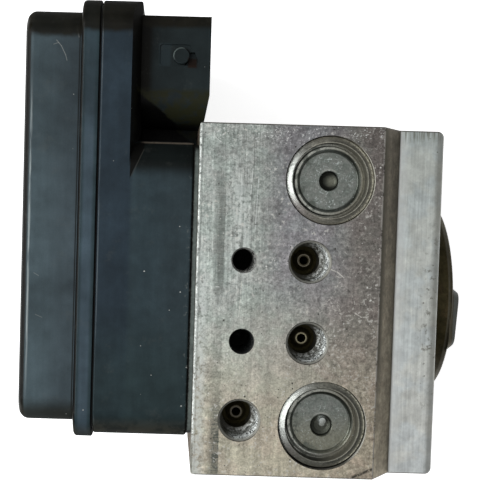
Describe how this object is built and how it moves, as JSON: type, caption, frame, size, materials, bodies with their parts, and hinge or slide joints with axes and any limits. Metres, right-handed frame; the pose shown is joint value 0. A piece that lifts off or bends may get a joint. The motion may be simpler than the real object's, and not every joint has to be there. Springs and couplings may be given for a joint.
{
  "type": "abs brake module",
  "caption": "Anti-lock brake unit: aluminium valve block with brake-line ports, accumulators and a pump, a black control unit on one side and a sunk pump motor on the other.",
  "frame": {"origin": "centre of the bounding box, on the flat back face that the module lies on", "axes": "+Z out of the port face, +X from the control unit through the valve block to the motor, +Y along the block towards the connector end"},
  "size_m": [0.1308, 0.1356, 0.09],
  "materials": {
    "block_aluminium": "extruded and machined, dull and scuffed",
    "brass": "turned",
    "zinc_steel": "zinc plated, dull",
    "ring_alloy": "turned, dull",
    "piston_aluminium": "hard anodised",
    "seal_rubber": "moulded",
    "gasket_rubber": "moulded",
    "spring_steel": "drawn wire",
    "hard_steel": "ground",
    "bobbin_plastic": "moulded",
    "copper": "enamelled or bare copper",
    "motor_steel": "dark passivated sheet steel",
    "carbon": "sintered carbon",
    "magnet_ferrite": "sintered ferrite",
    "bronze": "sintered bronze",
    "core_steel": "soft magnetic steel",
    "case_plastic": "moulded, fine grain",
    "cover_plastic": "moulded, fine grain",
    "board_laminate": "solder mask",
    "chip_resin": "moulded resin",
    "capacitor_can": "drawn can",
    "pin_tin": "tin plated"
  },
  "bodies": {
    "module": {"block_seal": "gasket_rubber", "board_capacitors": "capacitor_can", "board_chips": "chip_resin", "brush_plate": "bobbin_plastic", "cap_retaining_rings": "ring_alloy", "circuit_board": "board_laminate", "coil_bobbins": "bobbin_plastic", "coil_windings": "copper", "coil_yokes": "zinc_steel", "connector_pins": "pin_tin", "cover_seal": "seal_rubber", "ecu_cover": "cover_plastic", "ecu_housing": "case_plastic", "ecu_screws": "zinc_steel", "flare_seats": "brass", "front_bush": "bronze", "inlet_valve_bodies": "hard_steel", "lower_accumulator_cap": "zinc_steel", "lower_accumulator_spring": "spring_steel", "lower_pump_spring": "spring_steel", "motor_brushes": "carbon", "motor_can": "motor_steel", "motor_end_shield": "zinc_steel", "motor_gasket": "seal_rubber", "motor_lead": "bobbin_plastic", "motor_magnets": "magnet_ferrite", "motor_screws": "zinc_steel", "outlet_valve_bodies": "hard_steel", "passage_balls": "hard_steel", "pilot_bush": "bronze", "pump_plug_seals": "seal_rubber", "pump_plugs": "zinc_steel", "pump_sleeves": "hard_steel", "rear_bush": "bronze", "upper_accumulator_cap": "zinc_steel", "upper_accumulator_spring": "spring_steel", "upper_pump_spring": "spring_steel", "valve_block": "block_aluminium"},
    "upper_accumulator": {"upper_accumulator_piston": "piston_aluminium", "upper_accumulator_seal": "seal_rubber"},
    "lower_accumulator": {"lower_accumulator_piston": "piston_aluminium", "lower_accumulator_seal": "seal_rubber"},
    "upper_pump": {"upper_pump_piston": "hard_steel"},
    "lower_pump": {"lower_pump_piston": "hard_steel"},
    "inlet_valve_1": {"inlet_valve_armature_1": "core_steel"},
    "inlet_valve_2": {"inlet_valve_armature_2": "core_steel"},
    "inlet_valve_3": {"inlet_valve_armature_3": "core_steel"},
    "inlet_valve_4": {"inlet_valve_armature_4": "core_steel"},
    "outlet_valve_1": {"outlet_valve_armature_1": "core_steel"},
    "outlet_valve_2": {"outlet_valve_armature_2": "core_steel"},
    "outlet_valve_3": {"outlet_valve_armature_3": "core_steel"},
    "outlet_valve_4": {"outlet_valve_armature_4": "core_steel"},
    "rotor": {"motor_shaft": "hard_steel", "rotor_core": "core_steel", "rotor_windings": "copper", "commutator": "copper"},
    "running_ring": {"eccentric_ring": "hard_steel"}
  },
  "joints": [
    {"name": "upper_accumulator_stroke", "type": "slide", "parent": "module", "child": "upper_accumulator", "axis": [0, 0, 1], "range_m": [0, 0.005], "stiffness_N_per_m": 800, "springref_m": -0.012, "deforming": ["upper_accumulator_spring"]},
    {"name": "lower_accumulator_stroke", "type": "slide", "parent": "module", "child": "lower_accumulator", "axis": [0, 0, 1], "range_m": [0, 0.005], "stiffness_N_per_m": 800, "springref_m": -0.012, "deforming": ["lower_accumulator_spring"]},
    {"name": "upper_pump_stroke", "type": "slide", "parent": "module", "child": "upper_pump", "axis": [0, 1, 0], "range_m": [0, 0.002], "stiffness_N_per_m": 400, "springref_m": -0.004, "deforming": ["upper_pump_spring"]},
    {"name": "lower_pump_stroke", "type": "slide", "parent": "module", "child": "lower_pump", "axis": [0, -1, 0], "range_m": [0, 0.002], "stiffness_N_per_m": 400, "springref_m": -0.004, "deforming": ["lower_pump_spring"]},
    {"name": "inlet_valve_1_stroke", "type": "slide", "parent": "module", "child": "inlet_valve_1", "axis": [1, 0, 0], "range_m": [0, 0.0003], "stiffness_N_per_m": 200, "springref_m": -0.005},
    {"name": "inlet_valve_2_stroke", "type": "slide", "parent": "module", "child": "inlet_valve_2", "axis": [1, 0, 0], "range_m": [0, 0.0003], "stiffness_N_per_m": 200, "springref_m": -0.005},
    {"name": "inlet_valve_3_stroke", "type": "slide", "parent": "module", "child": "inlet_valve_3", "axis": [1, 0, 0], "range_m": [0, 0.0003], "stiffness_N_per_m": 200, "springref_m": -0.005},
    {"name": "inlet_valve_4_stroke", "type": "slide", "parent": "module", "child": "inlet_valve_4", "axis": [1, 0, 0], "range_m": [0, 0.0003], "stiffness_N_per_m": 200, "springref_m": -0.005},
    {"name": "outlet_valve_1_stroke", "type": "slide", "parent": "module", "child": "outlet_valve_1", "axis": [-1, 0, 0], "range_m": [0, 0.0003], "stiffness_N_per_m": 200, "springref_m": -0.005},
    {"name": "outlet_valve_2_stroke", "type": "slide", "parent": "module", "child": "outlet_valve_2", "axis": [-1, 0, 0], "range_m": [0, 0.0003], "stiffness_N_per_m": 200, "springref_m": -0.005},
    {"name": "outlet_valve_3_stroke", "type": "slide", "parent": "module", "child": "outlet_valve_3", "axis": [-1, 0, 0], "range_m": [0, 0.0003], "stiffness_N_per_m": 200, "springref_m": -0.005},
    {"name": "outlet_valve_4_stroke", "type": "slide", "parent": "module", "child": "outlet_valve_4", "axis": [-1, 0, 0], "range_m": [0, 0.0003], "stiffness_N_per_m": 200, "springref_m": -0.005},
    {"name": "rotor_spin", "type": "hinge", "parent": "module", "child": "rotor", "pos_m": [0.04825, -0.0178, 0.0435], "axis": [1, 0, 0], "continuous": true},
    {"name": "running_ring_spin", "type": "hinge", "parent": "rotor", "child": "running_ring", "pos_m": [0.02325, -0.0178, 0.0445], "axis": [1, 0, 0], "continuous": true}
  ]
}
